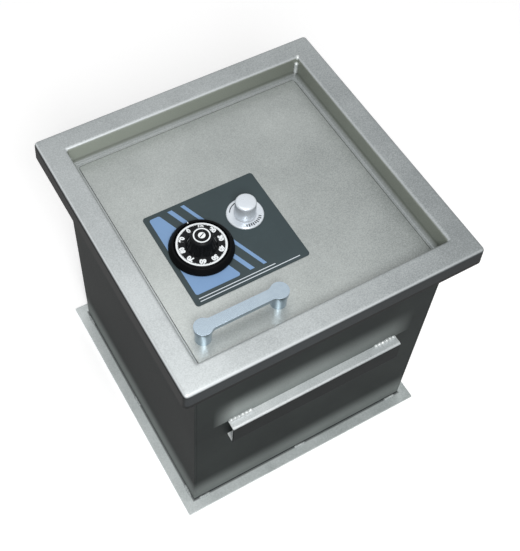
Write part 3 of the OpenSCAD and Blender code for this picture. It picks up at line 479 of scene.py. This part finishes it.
def loft(loops, capped=False):
    """A skin over loops of points in mm, drawn on from each loop to the next one."""
    bpy.ops.object.select_all(action="DESELECT")
    bpy.ops.mesh.primitive_circle_add(vertices=len(loops[0]), fill_type="NOTHING")
    made = bpy.context.object
    last = list(range(len(loops[0])))
    for step, loop in enumerate(loops):
        if step:
            bpy.ops.object.mode_set(mode="EDIT")
            bpy.ops.mesh.extrude_region_move()
            bpy.ops.object.mode_set(mode="OBJECT")
            drawn = [v.index for v in made.data.vertices if v.select]
            before = {tuple(made.data.vertices[i].co): k for k, i in enumerate(last)}
            last = sorted(drawn, key=lambda i: before[tuple(made.data.vertices[i].co)])
        for i, (x, y, z) in zip(last, loop):
            made.data.vertices[i].co = (x / 1000, y / 1000, z / 1000)
    bpy.ops.object.mode_set(mode="EDIT")
    if capped:
        bpy.ops.mesh.edge_face_add()
    bpy.ops.mesh.select_all(action="SELECT")
    bpy.ops.mesh.normals_make_consistent(inside=False)
    bpy.ops.object.mode_set(mode="OBJECT")
    highest = max(made.data.polygons, key=lambda f: f.center.z)
    if highest.normal.z < 0:
        bpy.ops.object.mode_set(mode="EDIT")
        bpy.ops.mesh.flip_normals()
        bpy.ops.object.mode_set(mode="OBJECT")
    return made


# The pressing's outer face in mm, from the foot of the lip over the top to the ledge's end.
frame_high = box_mm("frame_right")[1]
frame_half, frame_top = frame_high.x, frame_high.z
sheet = 3
lip_foot, lip_flare, lip_corner, lip_bend = 380, 1, 6, 5.5
rim_bend = 4.5
recess, recess_corner, foot_bend = 168, 3, 6
ledge_end, ledge_corner, ledge_z = 159.6, 5, 376
section = [(frame_half + lip_flare, lip_foot)]
section += bend(frame_half - lip_bend, frame_top - lip_bend, lip_bend, 0)
section += bend(recess + rim_bend, frame_top - rim_bend, rim_bend, 90)
section += [(2 * (recess - foot_bend) - half, z)
            for half, z in bend(recess - foot_bend, ledge_z + foot_bend, foot_bend, 180)]
section.append((ledge_end, ledge_z))
loops = []
for half, z in section:
    corner = max(lip_corner - (frame_half - half), recess_corner)
    if half == ledge_end:
        corner = ledge_corner
    loops.append([(x, y, z) for x, y in corner_loop(half, corner)])
pressing = loft(loops)
wall = pressing.modifiers.new("wall", "SOLIDIFY")
wall.thickness = sheet / 1000
wall.offset = -1
wall.use_even_offset = True
bpy.ops.object.modifier_apply(modifier="wall")
soften(pressing, 0.3, sharp=60)
joined("top_frame", [pressing], "safe", "frame_steel", frame_finish, "frame_front", "frame_back",
       "frame_left", "frame_right")

# The frame's corners are welded from inside the recess. Three of these welds are ground thin,
# and the one at the back right is left thick, with two blobs on the rim above it.
weld_at = recess - 1.9
rows = []
for x in (-1, 1):
    for y in (-1, 1):
        thick = x > 0 and y > 0
        top, radius = (397, 3.2) if thick else (390, 1.8)
        rows.append(bead_row((x * weld_at, y * weld_at, 382), (x * weld_at, y * weld_at, top),
                             radius=radius, count=8, seed=seed))
        if thick:
            rows.append(bead_row((recess + 1, recess + 1, 402.5), (recess + 2, recess + 2, 403.5),
                                 radius=3.9, count=2, seed=seed + 50))
        seed += 1
joined("frame_corner_weld_beads", rows, "safe", "frame_steel", weld_metal)

# Lid plate. 12 mm steel, laser cut with rounded corners and plated like the frame. It lies
# loose in the recess on the seal, and is lifted straight out.

# Zinc-plated plate: the frame's hammered grain, with painted light that lightens it towards the
# left and at the front left and back right corners.
lid_finish = metal("plated_lid_steel", "#BABFBD", "#828786", grain=1.5, relief=0.08, rough=0.34,
                   metallic=0.35, cloud=120, sheen=0.3, cloudy=0.3, painted_light_lean=0.26, painted_light_twist=0.28)
eased("lid_plate", "lid", lid_finish, 0.9)

# Lift handle. A chrome-plated zinc casting: two round posts and a flat bar that flares into
# a disc at each end, polished, and held by two screws from below.

# Bright chrome: near-mirror, with faint polishing haze, and a cool tint made bluer as a painted
# reflection of a blue sky.
chrome = metal("bright_chrome", "#B7C6D2", "#A9B9C6", grain=8, relief=0.004, rough=0.12, cloud=30)
eased("handle", "lid", chrome, 0.3)
# Zinc-plated screws: bluish white, dull in the recesses.
zinc_plate = metal("zinc_plate", "#B9BFC6", "#8E949B", grain=1.2, relief=0.03, rough=0.32,
                   cloud=12)
dress(zinc_plate, "handle_screws")

# Label plate. 1 mm aluminium, printed in charcoal and pale blue and lacquered, glued on the
# lid. The panel and the stripes are screen-printed ink.


def ink(name, bright, deep, rough):
    """Screen ink under lacquer: nearly even, with the screen's mesh and light handling marks."""
    made, tree, shader, place = start_material(name, {"Metallic": 0.0,
                                                      "Specular IOR Level": 0.25})
    mesh = add(tree, "TexNoise", {"Vector": place, "Scale": per(0.9), "Detail": 2.0})
    marks = add(tree, "TexNoise",
                {"Vector": place, "Scale": per(35), "Detail": 6.0, "Roughness": 0.7})
    tone = add(tree, "Mix", {"Factor": marks, "A": linear(deep), "B": linear(bright)},
               data_type="RGBA")
    gloss = add(tree, "MapRange", {"Value": marks, "To Min": rough * 0.8, "To Max": rough * 1.3})
    skin = add(tree, "Bump", {"Height": mesh, "Distance": 0.00002})
    fill(shader, {"Base Color": tone, "Roughness": gloss, "Normal": skin})
    return made


def printed(name, outline, z, body, slot, finish):
    """A flat patch of print: a polygon in mm, drawn 0.12 mm proud of its face."""
    bpy.ops.object.select_all(action="DESELECT")
    bpy.ops.mesh.primitive_circle_add(vertices=len(outline), radius=0.01, fill_type="NGON")
    patch = bpy.context.object
    for vertex, (x, y) in zip(patch.data.vertices, outline):
        vertex.co = (x / 1000, y / 1000, z / 1000)
    bpy.ops.object.mode_set(mode="EDIT")
    bpy.ops.mesh.select_all(action="SELECT")
    bpy.ops.mesh.extrude_region_move(TRANSFORM_OT_translate={"value": (0, 0, 0.00012)})
    bpy.ops.mesh.select_all(action="SELECT")
    bpy.ops.mesh.normals_make_consistent(inside=False)
    bpy.ops.object.mode_set(mode="OBJECT")
    return joined(name, [patch], body, slot, finish)


def rounded(corners, radius):
    """A polygon in mm with its corners rounded, each by an arc that touches both its sides."""
    steps = 5
    points = []
    for k, corner in enumerate(corners):
        here = Vector(corner)
        back = (Vector(corners[k - 1]) - here).normalized()
        on = (Vector(corners[(k + 1) % len(corners)]) - here).normalized()
        half = back.angle(on) / 2
        middle = here + (back + on).normalized() * radius / math.sin(half)
        first = here + back * radius / math.tan(half)
        last = here + on * radius / math.tan(half)
        for i in range(steps + 1):
            chord = first.lerp(last, i / steps) - middle
            points.append(tuple(middle + chord.normalized() * radius))
    return points


# Charcoal enamel: even and satin. The inks are as thin and as smooth, in pale blue and white.
charcoal = ink("charcoal_enamel", "#384548", "#2D383B", 0.4)
pale_blue = ink("pale_blue_ink", "#7C9BC0", "#6E8DB3", 0.4)
white_ink = ink("white_ink", "#D6DDE3", "#C4CCD3", 0.4)
eased("label_plate", "lid", charcoal, 0.25)
label_face = box_mm("label_plate")[1].z
panel = rounded([(-119.4, 42.5), (-105.5, 42.5), (-58.4, -78.5), (-119.4, -78.5)], 3)
printed("label_blue_panel", panel, label_face, "lid", "label_enamel", pale_blue)
# Each stripe slants from one point to another in mm, and its ends are cut level.
for name, (x_a, y_a), (x_b, y_b), width in (
        ("label_stripe_wide", (-90.9, 43.2), (-43.6, -77.6), 6.2),
        ("label_stripe_narrow", (-73.4, 43.3), (-26.2, -78), 4.8)):
    half = width / 2
    stripe = [(x_a - half, y_a), (x_a + half, y_a), (x_b + half, y_b), (x_b - half, y_b)]
    printed(name, stripe, label_face, "lid", "label_enamel", pale_blue)
line_start, line_half = -119, 0.5
for name, y, line_end in (("label_line_upper", -84, -16), ("label_line_lower", -88, 16)):
    line = [(line_start, y - line_half), (line_end, y - line_half), (line_end, y + line_half),
            (line_start, y + line_half)]
    printed(name, line, label_face, "lid", "label_enamel", white_ink)

# Dial and its ring. Black-coated turned aluminium. The ring is screwed to the lid; the dial has
# a flat figured disc and a fluted grip, and its figures are engraved and filled white.

# Black anodised aluminium: satin, with faint turning marks. The ring's is rubbed matt.
anodised = metal("black_anodised_aluminium", "#101215", "#08090B", grain=1.2, relief=0.02,
                 rough=0.3, metallic=0.0, cloud=20, sheen=0.15)
ring_black = metal("matt_black_anodised_aluminium", "#0B0C0E", "#060708", grain=1.2, relief=0.02,
                   rough=0.45, metallic=0.0, cloud=20, sheen=0.06)
# Paint wiped into the engraving: flat white, a little dirty.
paint_fill = ink("white_filled_engraving", "#F4F7F8", "#DDE3E6", 0.5)
eased("dial_ring", "lid", ring_black, 0.4)
eased("dial", "dial", anodised, 0.25)


def ring_line(centre, inner, outer, z, steps=96, thick=0.12, start=0, sweep=360):
    """A thin raised ring, or an arc of it in degrees, in mm, spun from a small upright square."""
    bpy.ops.object.select_all(action="DESELECT")
    mid, half = (inner + outer) / 2, (outer - inner) / 2
    turn = math.radians(start)
    bpy.ops.mesh.primitive_plane_add(size=0.001, location=(0, 0, 0))
    square = bpy.context.object
    corners = [(-half, 0), (half, 0), (-half, thick), (half, thick)]
    for vertex, (dx, dz) in zip(square.data.vertices, corners):
        away = mid + dx
        vertex.co = ((centre[0] + away * math.cos(turn)) / 1000,
                     (centre[1] + away * math.sin(turn)) / 1000, (z + dz) / 1000)
    bpy.ops.object.mode_set(mode="EDIT")
    bpy.ops.mesh.select_all(action="SELECT")
    bpy.ops.mesh.spin(steps=steps, angle=math.radians(sweep), axis=(0, 0, 1),
                      center=(centre[0] / 1000, centre[1] / 1000, z / 1000))
    if sweep == 360:
        bpy.ops.mesh.select_all(action="SELECT")
        bpy.ops.mesh.remove_doubles(threshold=1e-6)
    bpy.ops.mesh.select_all(action="SELECT")
    bpy.ops.mesh.normals_make_consistent(inside=False)
    bpy.ops.object.mode_set(mode="OBJECT")
    return square


def tick(centre, angle, inner, outer, width, z, thick):
    """A short radial bar in mm."""
    bpy.ops.object.select_all(action="DESELECT")
    bpy.ops.mesh.primitive_cube_add(size=1)
    bar = bpy.context.object
    turn = math.radians(angle)
    for vertex in bar.data.vertices:
        away = outer if vertex.co.x > 0 else inner
        side = width * vertex.co.y
        rise = thick if vertex.co.z > 0 else 0
        vertex.co = ((centre[0] + away * math.cos(turn) - side * math.sin(turn)) / 1000,
                     (centre[1] + away * math.sin(turn) + side * math.cos(turn)) / 1000,
                     (z + rise) / 1000)
    return bar


# The disc's face and the zero's direction from the axis, in mm and in degrees from +X.
disc_face, dial_zero = 386, 101
dial_low, dial_high = box_mm("dial")
dial_axis = ((dial_low.x + dial_high.x) / 2, (dial_low.y + dial_high.y) / 2)
# A hundred lines reach in from the ring, the tens furthest, then the fives.
marks = [ring_line(dial_axis, 29.3, 31.0, disc_face)]
for i in range(100):
    inner = 27.6 if i % 10 == 0 else 28.0 if i % 5 == 0 else 28.3
    marks.append(tick(dial_axis, dial_zero - i * 3.6, inner, 30.0, 1.2, disc_face, 0.1))
joined("dial_graduation", marks, "dial", "dial_black", paint_fill)

figure_size, figure_circle, figure_rise, figure_bold = 7.8, 24.3, 0.06, 0.52
figures = []
for i in range(10):
    bpy.ops.object.select_all(action="DESELECT")
    bpy.ops.object.text_add(radius=figure_size / 1000)
    figure = bpy.context.object
    figure.data.body = str(i * 10)
    figure.data.align_x = "CENTER"
    figure.data.align_y = "CENTER"
    figure.data.extrude = figure_rise / 1000
    figure.data.offset = figure_bold / 1000
    figure.data.resolution_u = 3
    bpy.ops.object.convert(target="MESH")
    turn = math.radians(dial_zero - i * 36)
    figure.matrix_world = Matrix.Translation(
        ((dial_axis[0] + figure_circle * math.cos(turn)) / 1000,
         (dial_axis[1] + figure_circle * math.sin(turn)) / 1000,
         (disc_face + figure_rise) / 1000)) @ Matrix.Rotation(turn - math.pi / 2, 4, "Z")
    bpy.ops.object.transform_apply(location=True, rotation=True, scale=True)
    figures.append(figure)
joined("dial_figures", figures, "dial", "dial_black", paint_fill)

# A white ring and spot mark the hub, and a dark slot crosses the spot. The fixed ring has one
# index line behind the dial.
hub_face = dial_high.z
spot_rise = 0.15
joined("dial_hub_marks", [ring_line(dial_axis, 8.9, 10.5, hub_face, steps=64),
                          ring_line(dial_axis, 0.01, 4.4, hub_face, steps=32, thick=spot_rise)],
       "dial", "dial_black", paint_fill)
joined("dial_hub_slot", [tick(dial_axis, 25, -3.6, 3.6, 1.3, hub_face + spot_rise, 0.05)],
       "dial", "dial_black", anodised)
joined("dial_ring_index", [tick(dial_axis, 90, 33.9, 35.7, 1.1, box_mm("dial_ring")[1].z, 0.12)],
       "lid", "dial_black", paint_fill)

# Lock. A zinc die-cast case under the lid with a steel hard plate above it, and a cover held by
# four screws. A brass tube carries the wheels through lid and case.

# Die-cast zinc: dull grey, with the fine orange peel of the mould.
case_metal = metal("zinc_die_casting", "#A6A8A9", "#7B7D7F", grain=1.4, relief=0.08, rough=0.48,
                   metallic=0.9, cloud=25)
# Yellow brass, turned and stamped, with a thin brown tarnish.
brass = metal("turned_brass", "#D2A95C", "#9C7636", grain=1.6, relief=0.02, rough=0.3, cloud=18)
# Turned steel: a fine tooled grain under a thin oil film.
turned = metal("turned_steel", "#B9BDC0", "#8A8E92", grain=1.0, relief=0.02, rough=0.26, cloud=15)
dress(scaled_steel, "hard_plate")
dress(case_metal, "lock_case", "lock_cover")
dress(zinc_plate, "lock_screws")
dress(brass, "wheel_post", "wheel_1", "wheel_2", "wheel_3", "drive_cam", "lever", "spindle_bush")
dress(turned, "dial_spindle", "lock_bolt", "lever_pin", "fence_pin")

# Opening knob. A satin chrome-plated turned knob over a flat disc, on a spindle that runs in a
# brass bush through the lid and turns the scroll cam below.

# Satin chrome: silvery white, finely blasted before plating.
satin = metal("satin_chrome", "#D6DCE2", "#C4CBD2", grain=0.9, relief=0.01, rough=0.3,
              metallic=0.45, cloud=14, sheen=0.3)
eased("knob_escutcheon", "lid", satin, 0.3)
knob_low, knob_high = box_mm("open_knob")
knob_axis = ((knob_low.x + knob_high.x) / 2, (knob_low.y + knob_high.y) / 2)
# The knob narrows a little towards its crown, whose edge is turned to a soft round. It is
# drawn as (radius, height) in mm.
knob_foot, knob_waist, crown_round, crown = 14, 13.5, 2.8, knob_high.z + 1.5
profile = [(knob_foot, knob_low.z), (knob_foot - 0.5, knob_low.z + 1),
           (knob_waist, knob_low.z + 4)]
profile += bend(knob_waist - 0.3 - crown_round, crown - 0.3 - crown_round, crown_round, 0)
profile += [(5, crown), (0.6, crown)]
points_round = 96
turns = [math.tau * k / points_round for k in range(points_round)]
knob = loft([[(knob_axis[0] + radius * math.cos(turn), knob_axis[1] + radius * math.sin(turn), z)
              for turn in turns] for radius, z in profile], capped=True)
bpy.ops.object.shade_smooth_by_angle(angle=math.radians(35))
joined("knob_turned", [knob], "knob", "knob_silver", satin, "open_knob")
# An arc on the disc shows which way the knob turns, and short lines run along its front.
dark_ink = ink("dark_filled_engraving", "#2B3136", "#22272B", 0.5)
disc_top = box_mm("knob_escutcheon")[1].z
turn_marks = [ring_line(knob_axis, 18.4, 19.6, disc_top, steps=24, start=150, sweep=70)]
for i in range(9):
    outer = 21.2 if i % 2 else 20.4
    turn_marks.append(tick(knob_axis, 247 + i * 9, 16.9, outer, 1.4, disc_top, 0.12))
joined("knob_disc_marks", turn_marks, "lid", "knob_silver", dark_ink)
dress(turned, "knob_spindle", "scroll_cam")
dress(zinc_plate, "cam_nut")

# Boltwork. Two flat-bar carriages slide under the lid in drilled guide bars and push two
# round bolts each under the seat rails.

dress(scaled_steel, "guide_bar_front", "guide_bar_back", "cam_arm_front", "cam_arm_back",
      "cross_bar_front", "cross_bar_back")
dress(zinc_plate, "guide_bar_screws", "bolt_nuts_front", "bolt_nuts_back")
dress(turned, "bolts_front", "bolts_back", "follower_pin_front", "follower_pin_back")

# Floor, light and camera. A plain pale floor runs out of sight. A large soft ceiling lamp gives
# the plain level, and a small strong one beside the camera brings out the upper faces.


def in_view(tree):
    """1 for what is seen straight, mirrored or through glass, and 0 for what only lights."""
    ray = add(tree, "LightPath").outputs
    seen = ray["Is Camera Ray"]
    for way in ("Is Glossy Ray", "Is Transmission Ray"):
        seen = add(tree, "Math", {0: seen, 1: ray[way]}, operation="MAXIMUM")
    return seen


# The floor lies a hair below the plate, so that the two faces don't flicker through each other.
bpy.ops.object.select_all(action="DESELECT")
bpy.ops.mesh.primitive_plane_add(size=12, location=(0, 0, -0.0002))
bpy.ops.object.transform_apply(location=True, rotation=True, scale=True)
floor = bpy.context.object
floor.name = "studio_floor"
floor_paint, tree, shader, place = start_material("pale_floor_paint", {
    "Metallic": 0.0, "Roughness": 0.9, "Emission Color": (1, 1, 1, 1)})
grey = add(tree, "TexNoise", {"Vector": place, "Scale": per(400)})
tone = add(tree, "Mix", {"Factor": grey, "A": linear("#FAFAFA"), "B": linear("#FDFDFD")},
           data_type="RGBA")
lift = add(tree, "Math", {0: in_view(tree), 1: 0.3}, operation="MULTIPLY")
fill(shader, {"Base Color": tone, "Emission Strength": lift})
dress(floor_paint, floor)

scene = bpy.context.scene
world = bpy.data.worlds.new("studio")
scene.world = world
world.use_nodes = True
tree = world.node_tree
tree.nodes.clear()
level = add(tree, "MapRange", {"Value": in_view(tree), "To Min": 0.45, "To Max": 1.0})
sky = add(tree, "Background", {"Color": (1, 1, 1, 1), "Strength": level})
add(tree, "OutputWorld", {"Surface": sky})


def soft_lamp(name, place, size, radiance):
    """A square lamp aimed at the safe, its power worked out from how bright its face looks."""
    data = bpy.data.lights.new(name, "AREA")
    data.shape = "SQUARE"
    data.size = size
    data.energy = radiance * math.pi * size ** 2
    lamp = bpy.data.objects.new(name, data)
    scene.collection.objects.link(lamp)
    lamp.location = place
    aim = Vector((0, 0, 0.2)) - Vector(place)
    lamp.rotation_euler = aim.to_track_quat("-Z", "Y").to_euler()


soft_lamp("ceiling_lamp", (0.0, 0.22, 2.5), size=1.0, radiance=2.9)
soft_lamp("camera_side_lamp", (-0.38, -0.86, 1.45), size=0.45, radiance=22.0)

# The camera's place in metres and its turns in degrees, with the focal length and the middle
# of its view in pixels of the image.
image_width, image_height = 520, 551
focal, middle_x, middle_y = 988.9, 216.6, 255.0
camera_place = (-0.4057, -0.5993, 1.3567)
yaw, pitch, roll = (math.radians(angle) for angle in (30.886, 56.383, 1.999))
view = bpy.data.cameras.new("photo_camera")
view.sensor_fit = "HORIZONTAL"
view.sensor_width = 36
view.lens = focal / image_width * view.sensor_width
view.shift_x = (image_width / 2 - middle_x) / image_width
view.shift_y = (middle_y - image_height / 2) / image_width
camera = bpy.data.objects.new("photo_camera", view)
scene.collection.objects.link(camera)
camera.matrix_world = (Matrix.Translation(camera_place)
                       @ Matrix.Rotation(-yaw, 4, "Z")
                       @ Matrix.Rotation(math.pi / 2 - pitch, 4, "X")
                       @ Matrix.Rotation(roll, 4, "Z"))
scene.camera = camera
scene.view_settings.view_transform = "Standard"
